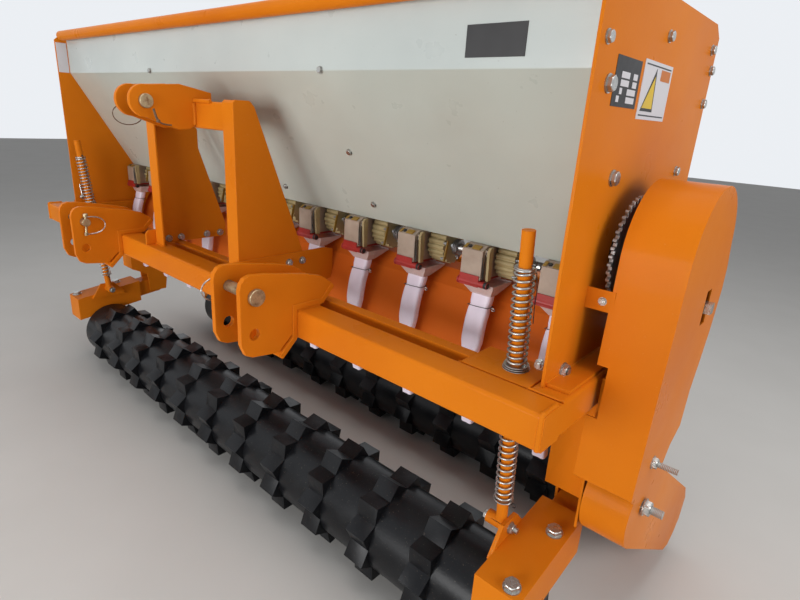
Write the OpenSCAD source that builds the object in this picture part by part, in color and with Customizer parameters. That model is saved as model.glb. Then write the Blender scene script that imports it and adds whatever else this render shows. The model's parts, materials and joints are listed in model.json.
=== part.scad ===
// Mounted seed drill: a hopper and seven-inch rows between two lugged rollers.
// Millimetres, +Z up, the hitch faces -Y, the drive case is at +X.
// Z = 0 is the ground under the rollers.

/* [Frame] */
// Square tube of the frame
tube = 60; // [50:1:70]
// Corner radius of that tube
tube_round = 7; // [4:1:10]
// Height of the frame's top over the roller axes
frame_h = 497; // [460:1:540]
// Frame length behind the rear roller's axis
rear_over = 65; // [60:1:90]

/* [End plates] */
// Room from the last row to each end plate
end_room = 71; // [66:1:100]
// Width of the side rails outside the end plates
rail_out = 44; // [40:1:50]
// Thickness of each end plate
plate_t = 5; // [3:1:7]
// End plate in front of the hopper
plate_front = 37; // [30:1:50]
// End plate behind the hopper
plate_rear = 25; // [20:1:40]

/* [Hopper] */
// Thickness of the hopper sheet
sheet = 3; // [2:1:5]
// Middle plane of the hopper
hop_y = 351; // [340:1:365]
// Half depth of the hopper's upper band
hop_half = 236; // [215:1:250]
// Half depth of the hopper's floor
hop_floor = 51; // [45:1:70]
// Height of the hopper's floor over the frame
floor_h = 140; // [130:1:170]
// Height of the sloping walls
slope_h = 312; // [280:1:340]
// Height of the upper band
band_h = 122; // [90:1:150]
// Radius of the lid's rolled front edge
lid_roll = 15; // [12:1:17]
// Distance of the lid's outer hinges from the middle
hinge_x = 700; // [600:1:800]

/* [Seed units] */
// Row spacing, seven inches
pitch = 178; // [160:1:190]
// Units each side of the middle one
side_units = 5; // [4:1:6]
// Seed shaft below the hopper's floor
shaft_drop = 33; // [33:1:38]
// Radius of the seed shaft
shaft_r = 10; // [8:0.5:12]
// Radius of the fluted rollers over their ribs
flute_r = 40; // [36:0.5:40]

/* [Rollers] */
// Radius over the ridges of the lugs
tip_r = 123; // [110:1:140]
// Radius of the roller tube
drum_r = 99; // [90:1:105]
// Wall of the roller tube
drum_wall = 11; // [5:1:15]
// Room between the roller tube and the end plates' planes
roll_gap = 56; // [50:1:70]
// Axis of the front roller
front_y = 136; // [128:1:145]
// Axis of the rear roller
rear_y = 635; // [620:1:660]
// Radius of both roller axles
axle_r = 20; // [15:1:25]
// Number of lugs in one ring
lugs = 11; // [8:1:14]
// Number of rings on one roller
rings = 11; // [7:2:13]
// Width of one ring of lugs
ring_w = 54; // [40:1:65]
// Spacing of the rings
ring_step = 157; // [130:1:160]

/* [Hitch] */
// Middle of each lower clevis
clevis_x = 412.5; // [380:0.5:440]
// Thickness of the clevis plates
clevis_t = 12; // [8:1:16]
// Clear gap between two clevis plates
clevis_gap = 77; // [60:1:90]
// Radius of the lower pins
pin_r = 11; // [8:0.5:13]
// Clearance of the lower pins in their holes
pin_play = 0.2; // [0.1:0.1:0.8]
// Lower pin position along Y
pin_y = -95; // [-115:1:-85]
// Lower pin over the frame
pin_up = 48; // [40:1:60]
// Free pin hole below the frame's top
hole_down = 26; // [20:1:34]
// Mast uprights outside the rows next to the middle one
mast_out = 30; // [28:1:60]
// Thickness of the mast plates
mast_t = 6; // [5:1:8]
// Top link pin along Y
top_y = -76; // [-86:1:-66]
// Top link pin over the frame
mast_h = 376; // [340:1:410]
// Radius of the top link pin
top_pin_r = 9.5; // [8:0.5:12.5]
// Gap for the top link
link_gap = 56; // [50:1:70]

/* [Front suspension] */
// Spring rods inside the end plates' planes
rod_in = 65; // [62:1:75]
// Radius of the spring rod
rod_r = 10.5; // [8:0.5:11.5]
// Radius of the spring wire
wire_r = 2.1; // [1.5:0.1:2.3]

/* [Hidden] */
orange = "#d9700c";
steel = "#b9bcc0";
black = "#26272a";
pale = "#b9aca6";
cream = "#c9bb92";
unit_n = 2 * side_units + 1;
plate_x = side_units * pitch + end_room;
half_w = plate_x + rail_out;
bar_z = tip_r + frame_h;
frame_y = rear_y + rear_over;
rail_in = half_w - tube;
floor_z = bar_z + floor_h;
fold_z = floor_z + slope_h;
rim_z = fold_z + band_h;
plate_top = rim_z - 2;
hop_y0 = hop_y - hop_half;
hop_y1 = hop_y + hop_half;
plate_y0 = hop_y0 - plate_front;
plate_y1 = hop_y1 + plate_rear;
hinge_y = hop_y1 + 24;
hinge_z = rim_z - 2;
hinge_r = 4;
shaft_z = floor_z - shaft_drop;
roll_half = plate_x - roll_gap;
// Width of a fluted roller and half of the slot over it in the hopper's floor
flute_w = 44;
slot_y = sqrt(pow(flute_r + 5.5, 2) - pow(shaft_drop, 2));
pin_z = bar_z + pin_up;
hole_z = bar_z - hole_down;
pin_hole_r = pin_r + pin_play;
top_z = bar_z + mast_h;
link_t = 12;
mast_x = pitch + mast_out;
// Running clearance of a shaft in its bore
fit = 0.06;
// Pivot of the front arms and the slope of their top
arm_x = plate_x - 2;
piv_y = front_y + 202;
piv_z = tip_r + 139;
piv_r = 12;
arm_rise = 0.1386;
arm_w = 44;
wall = 6;
// Spring rod foot, its lean and its length
rod_x = plate_x - rod_in;
foot_y = front_y + 1;
foot_z = tip_r + 169;
rod_lean = 5;
bracket_t = 8;
foot_seat = 62;
coil_r = 13.1 + wire_r;
to_bar = (bar_z - foot_z) / cos(rod_lean);
rod_len = to_bar + 231;
guard_x = rod_x - 77;
// Drive line: chain pitch, shafts and the planes of the three chains
link = 12.7;
top_y1 = hop_y - 76;
top_z1 = shaft_z + 81;
top_r = 13;
mid_y = hop_y - 89;
mid_z = bar_z - 244;
mid_r = 12;
stud_y = mid_y - 20;
stud_z = mid_z + 102;
stud_r = 5;
x_in = half_w + 28;
x_low = half_w + 41;
x_up = half_w + 67;
n_axle = 25;
n_mid = 21;
n_mid2 = 18;
n_top = 26;
n_top2 = 16;
n_seed = 22;
case_x0 = half_w - 5;
case_x1 = half_w + 93;
case_t = 3;
stud_end = case_x1 + 40;
shift = [(half_w - stud_end) / 2, -(rear_y + tip_r + pin_y - 32) / 2, 0];

function wheel_r(n) = n * link / (2 * PI);

// Turns a drawing in the Y-Z plane into a solid from x0 to x1
module yz(x0, x1) {
    translate([x0, 0, 0]) rotate([90, 0, 90]) linear_extrude(height = x1 - x0) children();
}

// A cylinder along X
module rod_along(x0, x1, y, z, r) {
    translate([x0, y, z]) rotate([0, 90, 0]) cylinder(r = r, h = x1 - x0, $fn = 32);
}

// A rounded rectangle drawn from its lower corner
module rounded(w, h, r) {
    union() {
        translate([r, 0]) square([w - 2 * r, h]);
        translate([0, r]) square([w, h - 2 * r]);
        for (x = [r, w - r]) for (y = [r, h - r]) translate([x, y]) circle(r = r, $fn = 24);
    }
}

module bar_at(y) {
    yz(-half_w, half_w) translate([y, bar_z - tube]) rounded(tube, tube, tube_round);
}

module front_bar() color(orange) translate(shift) bar_at(0);

module rear_bar() color(orange) translate(shift) bar_at(frame_y - tube);

module side_rails() color(orange) translate(shift) for (x = [-half_w, half_w - tube])
    translate([x, frame_y - tube, bar_z - tube]) rotate([90, 0, 0])
        linear_extrude(height = frame_y - 2 * tube) rounded(tube, tube, tube_round);

module rod_brackets() color(orange) translate(shift) for (s = [-1, 1]) difference() {
    translate([s > 0 ? guard_x : -rail_in, tube, bar_z - bracket_t])
        cube([rail_in - guard_x, 92, bracket_t]);
    translate([s * rod_x, foot_y - (to_bar - 4) * sin(rod_lean), bar_z - 20])
        cylinder(r = rod_r + 4.5, h = 40, $fn = 32);
}

module plate_shape() {
    polygon([[plate_y0, bar_z], [plate_y1, bar_z], [plate_y1, plate_top - 20],
        [plate_y1 - 30, plate_top], [plate_y0 + 22, plate_top], [plate_y0, plate_top - 18]]);
}

module end_plates() color(orange) translate(shift) for (s = [-1, 1]) difference() {
    union() {
        yz(s > 0 ? plate_x - plate_t : -plate_x, s > 0 ? plate_x : plate_t - plate_x) plate_shape();
        translate([s > 0 ? plate_x - 2 : wall - half_w, plate_y0 + 8, bar_z])
            cube([rail_out - wall + 2, plate_y1 - plate_y0 - 24, wall]);
    }
    rod_along(s * plate_x - 20, s * plate_x + 20, hop_y, shaft_z, shaft_r + fit);
    if (s > 0) rod_along(plate_x - 20, plate_x + 20, top_y1, top_z1, top_r + fit);
}

module hopper_shape(d) {
    polygon([[hop_y - hop_half + d, rim_z + d], [hop_y - hop_half + d, fold_z - d / 3],
        [hop_y - hop_floor + d * 0.6, floor_z + d], [hop_y + hop_floor - d * 0.6, floor_z + d],
        [hop_y + hop_half - d, fold_z - d / 3], [hop_y + hop_half - d, rim_z + d]]);
}

module hopper() color(steel) translate(shift) difference() {
    yz(plate_t - plate_x, plate_x - plate_t) intersection() {
        hopper_shape(0);
        square([1000, rim_z]);
    }
    yz(plate_t - plate_x + sheet, plate_x - plate_t - sheet) hopper_shape(sheet);
    for (i = [-side_units : side_units])
        translate([i * pitch - 6, hop_y - slot_y, floor_z - 5]) cube([flute_w + 12, 2 * slot_y, 12]);
}

module lid() color(orange) translate(shift) union() {
    yz(17 - plate_x, plate_x - 17) difference() {
        union() {
            translate([hop_y0 - 15, rim_z + 2]) square([hop_y1 - hop_y0 + 24, 4]);
            translate([hop_y0 - lid_roll - 3, hinge_z - 5]) circle(r = lid_roll, $fn = 40);
        }
        translate([hop_y0 - lid_roll - 3, hinge_z - 5]) circle(r = lid_roll - 3, $fn = 40);
    }
    for (x = [-hinge_x, 0, hinge_x]) difference() {
        yz(x - 30, x + 30) polygon([[hinge_y - 21, rim_z + 2], [hinge_y - 8, hinge_z - 8],
            [hinge_y + 8, hinge_z - 8], [hinge_y + 8, rim_z + 6], [hinge_y - 21, rim_z + 6]]);
        rod_along(x - 40, x + 40, hinge_y, hinge_z, hinge_r + fit);
    }
}

module lid_hinge() color(orange) translate(shift) for (x = [-hinge_x, 0, hinge_x]) union() {
    rod_along(x - 58, x + 58, hinge_y, hinge_z, hinge_r);
    for (a = [x - 58, x + 38]) yz(a, a + 20) union() {
        translate([hinge_y, hinge_z]) circle(r = 8, $fn = 32);
        polygon([[hop_y1, rim_z - 54], [hop_y1, rim_z - 24], [hinge_y - 8, hinge_z],
            [hinge_y + 8, hinge_z], [hinge_y + 8, hinge_z - 20]]);
    }
}

module mast_uprights() color(orange) translate(shift) for (s = [-1, 1]) {
    x0 = s > 0 ? mast_x - mast_t : -mast_x;
    f0 = s > 0 ? mast_x - 43 : -mast_x;
    y0 = 31;
    back = s > 0 ? [[y0 + 54, top_z + 1], [y0 + 185, bar_z + 40], [y0 + 185, bar_z]]
        : [[y0 + 56, top_z - 2], [y0 + 139, top_z - 66], [y0 + 139, top_z - 117],
            [hop_y - 107, bar_z + 40], [hop_y - 107, bar_z]];
    union() {
        yz(x0, x0 + mast_t) polygon(concat([[y0, bar_z], [y0, top_z + 7], [y0 + 6, top_z + 13],
            [y0 + 42, top_z + 13]], back));
        yz(f0, f0 + 43) polygon([[y0, bar_z], [y0, top_z + 7], [y0 + mast_t, top_z + 13],
            [y0 + mast_t, bar_z]]);
    }
}

module mast_tube() color(orange) translate(shift)
    yz(mast_t - mast_x, mast_x - mast_t) translate([31 + mast_t, top_z - 53]) difference() {
        rounded(47, 60, 6);
        translate([4, 4]) rounded(39, 52, 3);
    }

module mast_feet() color(orange) translate(shift) for (s = [-1, 1])
    yz(s > 0 ? mast_x : -mast_x - mast_t, s > 0 ? mast_x + mast_t : -mast_x)
        polygon(concat([[4, bar_z], [4, bar_z + 30], [12, bar_z + 40]], s > 0
            ? [[284, bar_z + 40], [hop_y - 39, bar_z + 34], [hop_y - 39, bar_z - 20],
                [hop_y - 45.75, bar_z - 47], [150, bar_z - 47], [tube + 58, bar_z]]
            : [[hop_y - 107, bar_z + 40], [hop_y - 107, bar_z]]));

module top_link_plates() color(orange) translate(shift)
    for (x = [-link_gap / 2 - link_t, link_gap / 2]) yz(x, x + link_t) difference() {
        y0 = 31 + mast_t;
        union() {
            polygon([[top_y, top_z + 33], [3, top_z + 40], [80, top_z + 26], [80, top_z + 7],
                [y0, top_z + 7], [y0, top_z - 46], [24, top_z - 56], [-5, top_z - 58],
                [top_y, top_z - 34]]);
            translate([top_y, top_z]) circle(r = 34, $fn = 48);
        }
        translate([top_y, top_z]) circle(r = top_pin_r + 0.1, $fn = 32);
    }

module top_link_pin() color(steel) translate(shift) {
    a = link_gap / 2 + link_t;
    union() {
        rod_along(-a - 20, a + 8, top_y, top_z, top_pin_r);
        rod_along(a, a + 8, top_y, top_z, top_pin_r + 5.5);
    }
}

module clevis_shape() {
    difference() {
        polygon([[pin_y - 32, hole_z - 16], [pin_y - 32, pin_z + 16], [pin_y - 29, pin_z + 28],
            [pin_y - 21, pin_z + 38], [pin_y - 9, pin_z + 42], [pin_y + 25, pin_z + 39],
            [20, bar_z + 72], [tube + 2, bar_z + 61], [tube + 28, bar_z + 43],
            [tube, bar_z + 14], [-13, bar_z + 14], [-13, bar_z - tube + 11],
            [-45, bar_z - tube - 18], [pin_y + 29, hole_z - 50], [pin_y - 9, hole_z - 45],
            [pin_y - 23, hole_z - 38]]);
        translate([pin_y, pin_z]) circle(r = pin_hole_r, $fn = 36);
        translate([pin_y - 3, hole_z]) circle(r = pin_hole_r, $fn = 36);
    }
}

module saddle_shape() {
    polygon([[tube, bar_z + 14], [tube + 28, bar_z + 43], [tube + 37, bar_z + 34],
        [tube + 6, bar_z], [0, bar_z], [0, bar_z - tube], [-36, bar_z - tube - 35],
        [-45, bar_z - tube - 26], [-13, bar_z - tube + 6], [-13, bar_z + 14]]);
}

module clevis(cx) {
    x0 = cx - clevis_gap / 2;
    x1 = cx + clevis_gap / 2;
    union() {
        yz(x0 - clevis_t, x0) clevis_shape();
        yz(x1, x1 + clevis_t) clevis_shape();
        yz(x0 - clevis_t, x1 + clevis_t) saddle_shape();
    }
}

module clevises() color(orange) translate(shift) for (s = [-1, 1]) clevis(s * clevis_x);

module lower_pins() color(steel) translate(shift) for (s = [-1, 1]) {
    a = clevis_gap / 2 + clevis_t;
    x0 = s > 0 ? clevis_x - a - 18 : -clevis_x - a - 9;
    h0 = s > 0 ? clevis_x + a : -clevis_x - a - 9;
    union() {
        rod_along(x0, x0 + 2 * a + 27, pin_y, pin_z, pin_r);
        rod_along(h0, h0 + 9, pin_y, pin_z, 16.5);
    }
}

module tube_guard() color(orange) translate(shift) union() {
    y0 = tube + 26;
    translate([-guard_x, y0, bar_z - 6]) cube([2 * guard_x, 26, 6]);
    translate([-guard_x, y0, bar_z - 34]) cube([2 * guard_x, 6, 34]);
    for (x = [-guard_x, guard_x - 20]) translate([x, tube, bar_z - 34]) cube([20, 28, 20]);
}

// A bent sheet across the frame in front of the seed tubes
module deflector() color(orange) translate(shift) translate([0, hop_y, bar_z])
    yz(40 - arm_x, arm_x - 40) polygon([[41, 62], [11, 53], [-19, 20], [-39, -20], [-49, -60],
        [-53, -100], [-53, -140], [-49, -140], [-49, -100], [-45, -60], [-35, -22],
        [-16, 17], [13, 49], [41, 58]]);

function arm_top(y) = piv_z + (y - front_y + 109) * arm_rise;

// A slice of the arm's side view, from y0 to y1 behind the roller's axis
module arm_shape(y0, y1, d0, d1) {
    a = front_y + y0;
    b = front_y + y1;
    polygon([[a, arm_top(a) - d0], [b, arm_top(b) - d0], [b, arm_top(b) - d1],
        [a, arm_top(a) - d1]]);
}

module front_arm(s) {
    cx = s * arm_x;
    b0 = s > 0 ? cx - arm_w - 8 : cx + arm_w;
    w = arm_w - wall;
    union() {
        difference() {
            yz(cx - arm_w, cx + arm_w) arm_shape(-109, 126, 0, 84);
            yz(cx - w, cx + w) arm_shape(wall - 109, 126 - wall, wall, 84 - wall);
            yz(cx - w, cx + w) arm_shape(-76, 94, 70, 90);
        }
        difference() {
            union() {
                yz(cx - 28, cx + 28) arm_shape(120, piv_y - front_y, 12, 72);
                rod_along(cx - 28, cx + 28, piv_y, piv_z, 30);
            }
            rod_along(cx - 60, cx + 60, piv_y, piv_z, piv_r + fit);
        }
        difference() {
            yz(b0, b0 + 8) polygon([[foot_y - 60, foot_z - 36], [foot_y - 26, foot_z + 18],
                [foot_y + 22, foot_z + 18], [foot_y + 58, foot_z - 22],
                [foot_y + 58, foot_z - 36]]);
            rod_along(b0 - 5, b0 + 15, foot_y, foot_z, 7);
        }
    }
}

module front_arms() color(orange) translate(shift) for (s = [-1, 1]) front_arm(s);

module arm_pivots() color(orange) translate(shift) for (s = [-1, 1]) {
    cx = s * arm_x;
    w0 = s > 0 ? cx - 36 : cx - arm_w;
    union() {
        for (x = [cx - 36, cx + 30]) yz(x, x + 6)
            polygon([[piv_y - 98, bar_z - tube], [piv_y + 82, bar_z - tube],
                [piv_y + 36, piv_z - 22], [piv_y - 32, piv_z - 22], [piv_y - 38, piv_z + 54],
                [piv_y - 98, piv_z + 83]]);
        translate([w0, piv_y - 98, piv_z + 83]) cube([80, wall, bar_z - tube - piv_z - 83]);
        rod_along(cx - 36, cx + 36, piv_y, piv_z, piv_r);
    }
}

module front_bearings() color(black) translate(shift) for (s = [-1, 1]) difference() {
    cx = s * (arm_x + 16);
    union() {
        rod_along(cx - 24, cx + 24, front_y, tip_r, axle_r + 24);
        yz(cx - 22, cx + 22) arm_shape(-88, 88, 84, 100);
        yz(cx - 20, cx + 20) arm_shape(-38, 38, 99, 140);
    }
    rod_along(cx - 40, cx + 40, front_y, tip_r, axle_r + fit);
}

// A ring of roof-shaped lugs: straight flanks from the tube up to each ridge
module ring_shape(a) {
    polygon([for (j = [0 : 2 * lugs - 1])
        let (r = j % 2 == 0 ? tip_r : drum_r + 1, t = a + j * 180 / lugs)
        [r * cos(t), r * sin(t)]]);
}

module lugged(y) {
    mid = (rings - 1) / 2;
    translate([0, y, tip_r]) difference() {
        union() {
            rod_along(-roll_half, roll_half, 0, 0, drum_r);
            for (i = [-mid : mid]) yz(i * ring_step - ring_w / 2, i * ring_step + ring_w / 2)
                ring_shape(i % 2 == 0 ? -100 : -90);
        }
        rod_along(-roll_half - 5, roll_half + 5, 0, 0, drum_r - drum_wall);
    }
}

module front_roller() color(black) translate(shift) lugged(front_y);

module axle(y, x0, x1) {
    union() {
        rod_along(x0, x1, y, tip_r, axle_r);
        for (x = [-roll_half + 20, roll_half - 32])
            rod_along(x, x + 12, y, tip_r, drum_r - drum_wall);
    }
}

module front_axle() color(black) translate(shift) axle(front_y, -arm_x - 41, arm_x + 41);

module rear_hangers() color(orange) translate(shift) for (s = [-1, 1]) difference() {
    x0 = s > 0 ? plate_x + 7 : -plate_x - 15;
    union() {
        yz(x0, x0 + 8) polygon([[rear_y - 92, bar_z - tube], [rear_y + 60, bar_z - tube],
            [rear_y + 52, tip_r - 63], [rear_y - 52, tip_r - 63], [rear_y - 60, tip_r + 27]]);
        yz(s > 0 ? x0 - 28 : x0, s > 0 ? x0 + 8 : x0 + 36)
            polygon([[rear_y - 92, bar_z - tube], [rear_y - 86, bar_z - tube],
                [rear_y - 54, tip_r + 27], [rear_y - 60, tip_r + 27]]);
    }
    rod_along(x0 - 50, x0 + 50, rear_y, tip_r, axle_r + 14);
}

module rear_bearings() color(black) translate(shift) for (s = [-1, 1]) difference() {
    x0 = s > 0 ? plate_x - 31 : -plate_x - 7;
    union() {
        rod_along(x0, x0 + 38, rear_y, tip_r, axle_r + 20);
        translate([s > 0 ? x0 + 24 : x0, rear_y - 46, tip_r - 46]) cube([14, 92, 92]);
    }
    rod_along(x0 - 5, x0 + 50, rear_y, tip_r, axle_r + fit);
}

module rear_roller() color(black) translate(shift) lugged(rear_y);

module rear_axle() color(black) translate(shift) axle(rear_y, -plate_x - 29, x_low + 16);

module spring_rods() color(orange) translate(shift) for (s = [-1, 1]) union() {
    translate([s * rod_x, foot_y, foot_z]) rotate([rod_lean, 0, 0])
        cylinder(r = rod_r, h = rod_len, $fn = 32);
    a = arm_x - arm_w - 8;
    rod_along(s > 0 ? rod_x - 28 : -a, s > 0 ? a : 28 - rod_x, foot_y, foot_z, 13);
}

// Height of the wire after u turns, with one closed turn at each end
function wire_z(u, n, len, w) = u < 1 ? u * (2 * w + 0.4)
    : u > n - 1 ? len - (n - u) * (2 * w + 0.4)
    : 2 * w + 0.4 + (u - 1) * (len - 4 * w - 0.8) / (n - 2);

// A spring as a five-sided wire wound n times round the z axis
module coil(n, len, r, w) {
    m = n * 12;
    pts = [for (i = [0 : m]) for (k = [0 : 4])
        [(r + w * cos(k * 72)) * cos(i * 30), (r + w * cos(k * 72)) * sin(i * 30),
            wire_z(i / 12, n, len, w) + w * sin(k * 72)]];
    side_a = [for (i = [0 : m - 1]) for (k = [0 : 4])
        [i * 5 + k, i * 5 + 5 + k, i * 5 + (k + 1) % 5]];
    side_b = [for (i = [0 : m - 1]) for (k = [0 : 4])
        [i * 5 + 5 + k, i * 5 + 5 + (k + 1) % 5, i * 5 + (k + 1) % 5]];
    ends = [[0, 1, 2, 3, 4], [m * 5 + 4, m * 5 + 3, m * 5 + 2, m * 5 + 1, m * 5]];
    polyhedron(points = pts, faces = concat(side_a, side_b, ends));
}

module on_rods(z) for (s = [-1, 1]) translate([s * rod_x, foot_y, foot_z])
    rotate([rod_lean, 0, 0]) translate([0, 0, z]) children();

module springs() color(steel) translate(shift) {
    on_rods(to_bar + 2.15) coil(16, 170, coil_r, wire_r);
    on_rods(foot_seat) coil(21, to_bar - bracket_t - 2.2 - foot_seat, coil_r, wire_r);
}

// One metering unit, drawn round the shaft at x = 0, with its bracket at the roller
module cup() {
    union() {
        difference() {
            yz(-56, -6) polygon([[-79, -36], [-79, 24], [-62, 33], [44, 33], [44, -8], [30, -36]]);
            rod_along(-80, 0, 0, 0, shaft_r + 5);
        }
        yz(2, 8) polygon([[-72, -36], [-76, 24], [-70, 33], [-61, 33], [-61, -36]]);
        translate([-8, -70, 14]) cube([12, 7, 12]);
    }
}

module seed_cups() color(pale) translate(shift)
    for (i = [-side_units : side_units]) translate([i * pitch, hop_y, shaft_z]) cup();

module seed_gates() color("#8e2a24") translate(shift)
    for (i = [-side_units : side_units]) translate([i * pitch, hop_y, shaft_z]) union() {
        translate([-56, -76, -42]) cube([47, 82, 6]);
        rod_along(-57, 12, -76, -44, 7);
        rod_along(-60, -57, -76, -44, 8.5);
    }

// A drawing in the X-Z plane as a solid from y0 to y1
module xz(y0, y1) {
    translate([0, y1, 0]) rotate([90, 0, 0]) linear_extrude(height = y1 - y0) children();
}

module funnel() {
    difference() {
        intersection() {
            yz(-60, 24) polygon([[-68, -42], [4, -42], [4, -50], [-44, -68], [-68, -68]]);
            xz(-80, 10) polygon([[-58, -42], [-6, -42], [-6, -46], [20, -46], [20, -54],
                [16, -68], [-32, -68], [-58, -52]]);
        }
        intersection() {
            yz(-60, 24) polygon([[-65.5, -30], [1.5, -30], [1.5, -48.6], [-46.5, -66.6],
                [-46.5, -75], [-65.5, -75]]);
            xz(-80, 10) polygon([[-55.5, -30], [17.5, -30], [17.5, -54.4], [13.5, -68],
                [13.5, -75], [-29.5, -75], [-29.5, -67.2], [-55.5, -51]]);
        }
    }
}

module funnels() color("#cfc8cc") translate(shift)
    for (i = [-side_units : side_units]) translate([i * pitch, hop_y, shaft_z]) funnel();

// A seed tube, flat at its top and narrower below, moved in by d with its ends drawn out by e
module tube_body(d, e) {
    intersection() {
        yz(-60, 60) polygon([[-68 + d, -68 + e], [-74 + d, -94], [-85 + d, -122], [-98 + d, -176],
            [-100 + d, -230], [-84 + d, -300], [-68 + d, -372 - e], [-46 - d, -366 - e],
            [-61 - d, -298], [-77 - d, -230], [-75 - d, -176], [-62 - d, -118], [-51 - d, -94],
            [-44 - d, -68 + e]]);
        xz(-150, 10) polygon([[d - 32, e - 68], [d - 32, -166], [d - 23, -205], [d - 23, -372 - e],
            [7 - d, -372 - e], [7 - d, -205], [16 - d, -166], [16 - d, e - 68]]);
    }
}

module seed_tubes() color("#c9bfd2") translate(shift)
    for (i = [-side_units : side_units]) translate([i * pitch, hop_y, shaft_z]) difference() {
        tube_body(0, 0);
        tube_body(2.5, 5);
    }

module seed_shaft() color(steel) translate(shift) union() {
    rod_along(-plate_x - 17, case_x1 - 14, hop_y, shaft_z, shaft_r);
    translate([case_x1 - 14, hop_y - shaft_r + 1, shaft_z - shaft_r + 1])
        cube([24, 2 * shaft_r - 2, 2 * shaft_r - 2]);
}

module fluted_rollers() color(cream) translate(shift)
    for (i = [-side_units : side_units]) translate([i * pitch, hop_y, shaft_z])
        yz(0, flute_w) difference() {
            union() {
                circle(r = flute_r - 4, $fn = 48);
                for (j = [0 : 17]) rotate(j * 20) translate([flute_r - 5.5, 0])
                    circle(r = 5.5, $fn = 24);
            }
            circle(r = shaft_r, $fn = 32);
        }

module shaft_bearings() color(black) translate(shift) {
    for (x = [-plate_x - 14, plate_x]) difference() {
        rod_along(x, x + 14, hop_y, shaft_z, shaft_r + 14);
        rod_along(x - 1, x + 15, hop_y, shaft_z, shaft_r + fit);
    }
    difference() {
        rod_along(plate_x, plate_x + 14, top_y1, top_z1, top_r + 17);
        rod_along(plate_x - 1, plate_x + 15, top_y1, top_z1, top_r + fit);
    }
}

// Rear and front sides of the chain case, moved in by d
function case_pts(d, low) = concat([[hop_y - 165 + d, shaft_z + 79], [mid_y - 97 + d, mid_z + 65]],
    low, [[mid_y + 130 - d, mid_z + 109 + d], [mid_y + 137 - d, mid_z + 181 + d / 3],
    [hop_y + 69 - d, bar_z - 10 + d / 3], [hop_y + 87 - d, shaft_z - 64 + d / 3],
    [hop_y + 100 - d, shaft_z + 10], [hop_y + 96 - d, shaft_z + 53 - d / 3],
    [hop_y + 76 - d, shaft_z + 103 - d * 2 / 3]]);

module case_shape() {
    union() {
        translate([hop_y - 43, shaft_z + 79]) circle(r = 122, $fn = 72);
        polygon(case_pts(0, [[mid_y - 84, mid_z + 52], [mid_y + 55, mid_z + 51],
            [mid_y + 86, mid_z + 88]]));
    }
}

module case_hollow() {
    union() {
        translate([hop_y - 43, shaft_z + 79]) circle(r = 122 - case_t, $fn = 72);
        polygon(case_pts(case_t, [[mid_y - 97 + case_t, mid_z + 24],
            [mid_y + 130 - case_t, mid_z + 24]]));
    }
}

module drive_case() color(orange) translate(shift) difference() {
    union() {
        yz(case_x1 - case_t, case_x1) case_shape();
        yz(case_x0, case_x1 - case_t) difference() {
            case_shape();
            case_hollow();
        }
        translate([plate_x, hop_y - 169, shaft_z + 1]) cube([case_x0 - plate_x + 6, 3, 34]);
    }
    translate([case_x0 - 5, mid_y - 112, bar_z - tube - 7]) cube([23, 320, tube + 29]);
    translate([case_x1 - 20, hop_y - shaft_r - 4, shaft_z - 30]) cube([40, 2 * shaft_r + 8, 60]);
    rod_along(case_x1 - 20, case_x1 + 20, stud_y, stud_z, stud_r);
}

module drive_plate() color(orange) translate(shift) difference() {
    yz(half_w, half_w + 5) polygon([[mid_y - 62, bar_z - 8], [mid_y + 126, bar_z - 8],
        [mid_y + 126, bar_z - tube], [mid_y + 58, mid_z - 66], [mid_y - 58, mid_z - 66],
        [mid_y - 62, mid_z + 44]]);
    rod_along(half_w - 5, half_w + 10, mid_y, mid_z, mid_r);
}

module mid_stud() color(steel) translate(shift) {
    union() {
        rod_along(half_w - 5, stud_end - 8, mid_y, mid_z, mid_r);
        rod_along(case_x1, case_x1 + 14, mid_y, mid_z, mid_r + 6);
    }
    rod_along(half_w + 5, stud_end, stud_y, stud_z, stud_r);
}

module cover_shape(d) {
    polygon([[mid_y + 44, mid_z + 65 - d], [rear_y + 44, tip_r + 65 - d],
        [rear_y + 75 - d, tip_r + 20], [rear_y + 66 - d, tip_r - 40], [rear_y, tip_r - 78 + d],
        [rear_y - 44, tip_r - 65 + d], [mid_y - 44, mid_z - 65 + d]]);
}

module lower_cover() color(orange) translate(shift) difference() {
    union() {
        yz(case_x1 - 6, case_x1 - 3) cover_full(0);
        yz(half_w + 11, case_x1 - 6) difference() {
            cover_full(0);
            cover_full(case_t);
        }
        rod_along(plate_x + 15, case_x1 - 5, rear_y - 35, tip_r + 67, 6);
    }
    rod_along(case_x1 - 20, case_x1 + 12, mid_y, mid_z, mid_r);
    translate([case_x0, mid_y - 64, mid_z + 48]) cube([case_x1 - case_x0 - 7, 132, 60]);
}

module cover_full(d) {
    union() {
        translate([mid_y, mid_z]) circle(r = 78 - d, $fn = 60);
        cover_shape(d);
        translate([rear_y - 3, tip_r]) circle(r = 74 - d, $fn = 60);
    }
}

module sprocket(n, bore) {
    r = wheel_r(n);
    difference() {
        union() {
            circle(r = r - 4, $fn = 72);
            intersection() {
                circle(r = r + 2.5, $fn = 72);
                union() for (j = [0 : n - 1]) rotate(j * 360 / n)
                    polygon([[r - 8, -4.6], [r + 4, -1.6], [r + 4, 1.6], [r - 8, 4.6]]);
            }
        }
        circle(r = bore, $fn = 32);
    }
}

module axle_sprocket() color(steel) translate(shift)
    translate([0, rear_y, tip_r]) yz(x_low - 3, x_low + 3) sprocket(n_axle, axle_r);

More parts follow.
